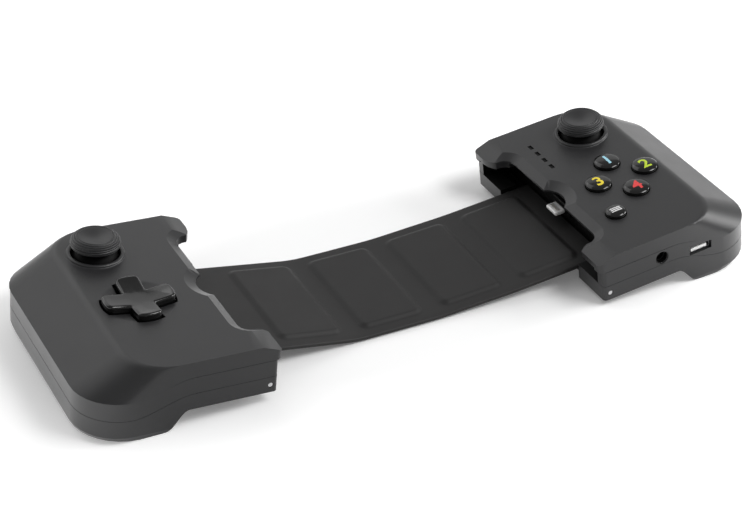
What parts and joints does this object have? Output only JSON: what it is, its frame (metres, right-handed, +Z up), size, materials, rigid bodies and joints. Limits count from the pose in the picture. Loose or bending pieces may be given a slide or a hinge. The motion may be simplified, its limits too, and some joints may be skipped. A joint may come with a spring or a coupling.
{
  "type": "mobile game controller",
  "caption": "Two-handed game controller for a phone: two grips with sticks, direction pad and buttons, joined by a bending strap behind the phone.",
  "frame": {"origin": "centre of the bounding box at its base, on the surface the controller lies on", "axes": "+X along the strap from the left grip to the right, +Y from the front edge to the shoulder buttons, +Z up"},
  "size_m": [0.2482, 0.093, 0.0313],
  "materials": {
    "shell_plastic": "dark grey soft-touch plastic",
    "control_gloss": "glossy black plastic",
    "stick_rubber": "ringed dark rubber",
    "strap_rubber": "smooth dark rubber",
    "steel": "plain steel",
    "board_green": "green circuit board",
    "inner_black": "black moulded plastic",
    "contact_rubber": "grey silicone rubber",
    "battery_wrap": "foil-wrapped cell",
    "light_guide": "smoked clear plastic",
    "plug_metal": "plated metal"
  },
  "bodies": {
    "left_grip": {"left_top_cover": "shell_plastic", "left_mid_frame": "shell_plastic", "left_bottom_cover": "shell_plastic", "left_stick_collar": "shell_plastic", "left_board": "board_green", "left_stick_base": "inner_black", "dpad_cradle": "inner_black", "left_contact_mat": "contact_rubber", "left_screws": "steel", "left_strap_pin": "steel", "left_trigger_pin": "steel", "left_phone_stop": "inner_black"},
    "left_gimbal": {"left_stick_gimbal": "inner_black"},
    "left_stick": {"left_stick_stem": "inner_black", "left_stick_skirt": "control_gloss", "left_stick_cap": "stick_rubber"},
    "dpad_rocker": {"dpad_rocker": "inner_black"},
    "dpad": {"dpad": "control_gloss"},
    "left_shoulder": {"left_shoulder": "control_gloss"},
    "left_trigger": {"left_trigger": "control_gloss"},
    "strap_1": {"strap_band_1": "strap_rubber", "strap_pad_1": "strap_rubber"},
    "strap_2": {"strap_band_2": "strap_rubber", "strap_pad_2": "strap_rubber"},
    "strap_3": {"strap_band_3": "strap_rubber", "strap_pad_3": "strap_rubber"},
    "strap_4": {"strap_band_4": "strap_rubber", "strap_pad_4": "strap_rubber"},
    "right_grip": {"right_top_cover": "shell_plastic", "right_mid_frame": "shell_plastic", "right_bottom_cover": "shell_plastic", "right_stick_collar": "shell_plastic", "right_board": "board_green", "right_stick_base": "inner_black", "right_contact_mat": "contact_rubber", "right_screws": "steel", "right_strap_pin": "steel", "right_trigger_pin": "steel", "battery": "battery_wrap", "light_pipe": "light_guide", "audio_socket": "inner_black", "charge_socket": "plug_metal", "phone_plug": "plug_metal", "plug_carrier": "inner_black"},
    "right_gimbal": {"right_stick_gimbal": "inner_black"},
    "right_stick": {"right_stick_stem": "inner_black", "right_stick_skirt": "control_gloss", "right_stick_cap": "stick_rubber"},
    "button_rear": {"button_rear": "control_gloss"},
    "button_outer": {"button_outer": "control_gloss"},
    "button_inner": {"button_inner": "control_gloss"},
    "button_front": {"button_front": "control_gloss"},
    "menu_button": {"menu_button": "control_gloss"},
    "right_shoulder": {"right_shoulder": "control_gloss"},
    "right_trigger": {"right_trigger": "control_gloss"}
  },
  "joints": [
    {"name": "left_strap_hinge", "type": "hinge", "parent": "left_grip", "child": "strap_1", "pos_m": [-0.06307, -0.0028, 0.00719], "axis": [0, 1, 0], "range_deg": [-11, 3]},
    {"name": "strap_bend_a", "type": "hinge", "parent": "strap_1", "child": "strap_2", "pos_m": [-0.02385, -0.0028, 0.0011], "axis": [0, 1, 0], "range_deg": [-20, 40], "stiffness_Nm_per_rad": 0.25},
    {"name": "strap_bend_b", "type": "hinge", "parent": "strap_2", "child": "strap_3", "pos_m": [0.00655, -0.0028, 0.0011], "axis": [0, 1, 0], "range_deg": [-28, 34], "stiffness_Nm_per_rad": 0.25},
    {"name": "strap_bend_c", "type": "hinge", "parent": "strap_3", "child": "strap_4", "pos_m": [0.03695, -0.0028, 0.0033], "axis": [0, 1, 0], "range_deg": [-28, 31], "stiffness_Nm_per_rad": 0.25},
    {"name": "right_strap_hinge", "type": "hinge", "parent": "strap_4", "child": "right_grip", "pos_m": [0.06295, -0.0028, 0.00512], "axis": [0, 1, 0], "range_deg": [-7, 8]},
    {"name": "left_stick_fore_aft", "type": "hinge", "parent": "left_grip", "child": "left_gimbal", "pos_m": [-0.09457, 0.0242, 0.01933], "axis": [0.9973, 0, -0.0732], "range_deg": [-10, 10], "stiffness_Nm_per_rad": 0.02},
    {"name": "left_stick_side", "type": "hinge", "parent": "left_gimbal", "child": "left_stick", "pos_m": [-0.09457, 0.0242, 0.01933], "axis": [0, 1, 0], "range_deg": [-10, 10], "stiffness_Nm_per_rad": 0.02},
    {"name": "dpad_fore_aft", "type": "hinge", "parent": "left_grip", "child": "dpad_rocker", "pos_m": [-0.0918, -0.0076, 0.01882], "axis": [0.9973, 0, -0.0732], "range_deg": [-3.5, 3.5], "stiffness_Nm_per_rad": 0.03},
    {"name": "dpad_side", "type": "hinge", "parent": "dpad_rocker", "child": "dpad", "pos_m": [-0.0918, -0.0076, 0.01882], "axis": [0, 1, 0], "range_deg": [-3.5, 3.5], "stiffness_Nm_per_rad": 0.03},
    {"name": "left_shoulder_press", "type": "slide", "parent": "left_grip", "child": "left_shoulder", "axis": [0, -1, 0], "range_m": [0, 0.0009], "stiffness_N_per_m": 150},
    {"name": "left_trigger_pull", "type": "hinge", "parent": "left_grip", "child": "left_trigger", "pos_m": [-0.08995, 0.0357, 0.01388], "axis": [-0.9973, 0, 0.0732], "range_deg": [0, 10], "stiffness_Nm_per_rad": 0.02},
    {"name": "right_stick_fore_aft", "type": "hinge", "parent": "right_grip", "child": "right_gimbal", "pos_m": [0.09369, 0.0242, 0.01905], "axis": [0.9914, 0, 0.1305], "range_deg": [-10, 10], "stiffness_Nm_per_rad": 0.02},
    {"name": "right_stick_side", "type": "hinge", "parent": "right_gimbal", "child": "right_stick", "pos_m": [0.09369, 0.0242, 0.01905], "axis": [0, 1, 0], "range_deg": [-10, 10], "stiffness_Nm_per_rad": 0.02},
    {"name": "button_rear_press", "type": "slide", "parent": "right_grip", "child": "button_rear", "axis": [0.1305, 0, -0.9914], "range_m": [0, 0.0009], "stiffness_N_per_m": 150},
    {"name": "button_outer_press", "type": "slide", "parent": "right_grip", "child": "button_outer", "axis": [0.1305, 0, -0.9914], "range_m": [0, 0.0009], "stiffness_N_per_m": 150},
    {"name": "button_inner_press", "type": "slide", "parent": "right_grip", "child": "button_inner", "axis": [0.1305, 0, -0.9914], "range_m": [0, 0.0009], "stiffness_N_per_m": 150},
    {"name": "button_front_press", "type": "slide", "parent": "right_grip", "child": "button_front", "axis": [0.1305, 0, -0.9914], "range_m": [0, 0.0009], "stiffness_N_per_m": 150},
    {"name": "menu_press", "type": "slide", "parent": "right_grip", "child": "menu_button", "axis": [0.1305, 0, -0.9914], "range_m": [0, 0.0009], "stiffness_N_per_m": 150},
    {"name": "right_shoulder_press", "type": "slide", "parent": "right_grip", "child": "right_shoulder", "axis": [0, -1, 0], "range_m": [0, 0.0009], "stiffness_N_per_m": 150},
    {"name": "right_trigger_pull", "type": "hinge", "parent": "right_grip", "child": "right_trigger", "pos_m": [0.0894, 0.0357, 0.01334], "axis": [-0.9914, 0, -0.1305], "range_deg": [0, 10], "stiffness_Nm_per_rad": 0.02}
  ]
}
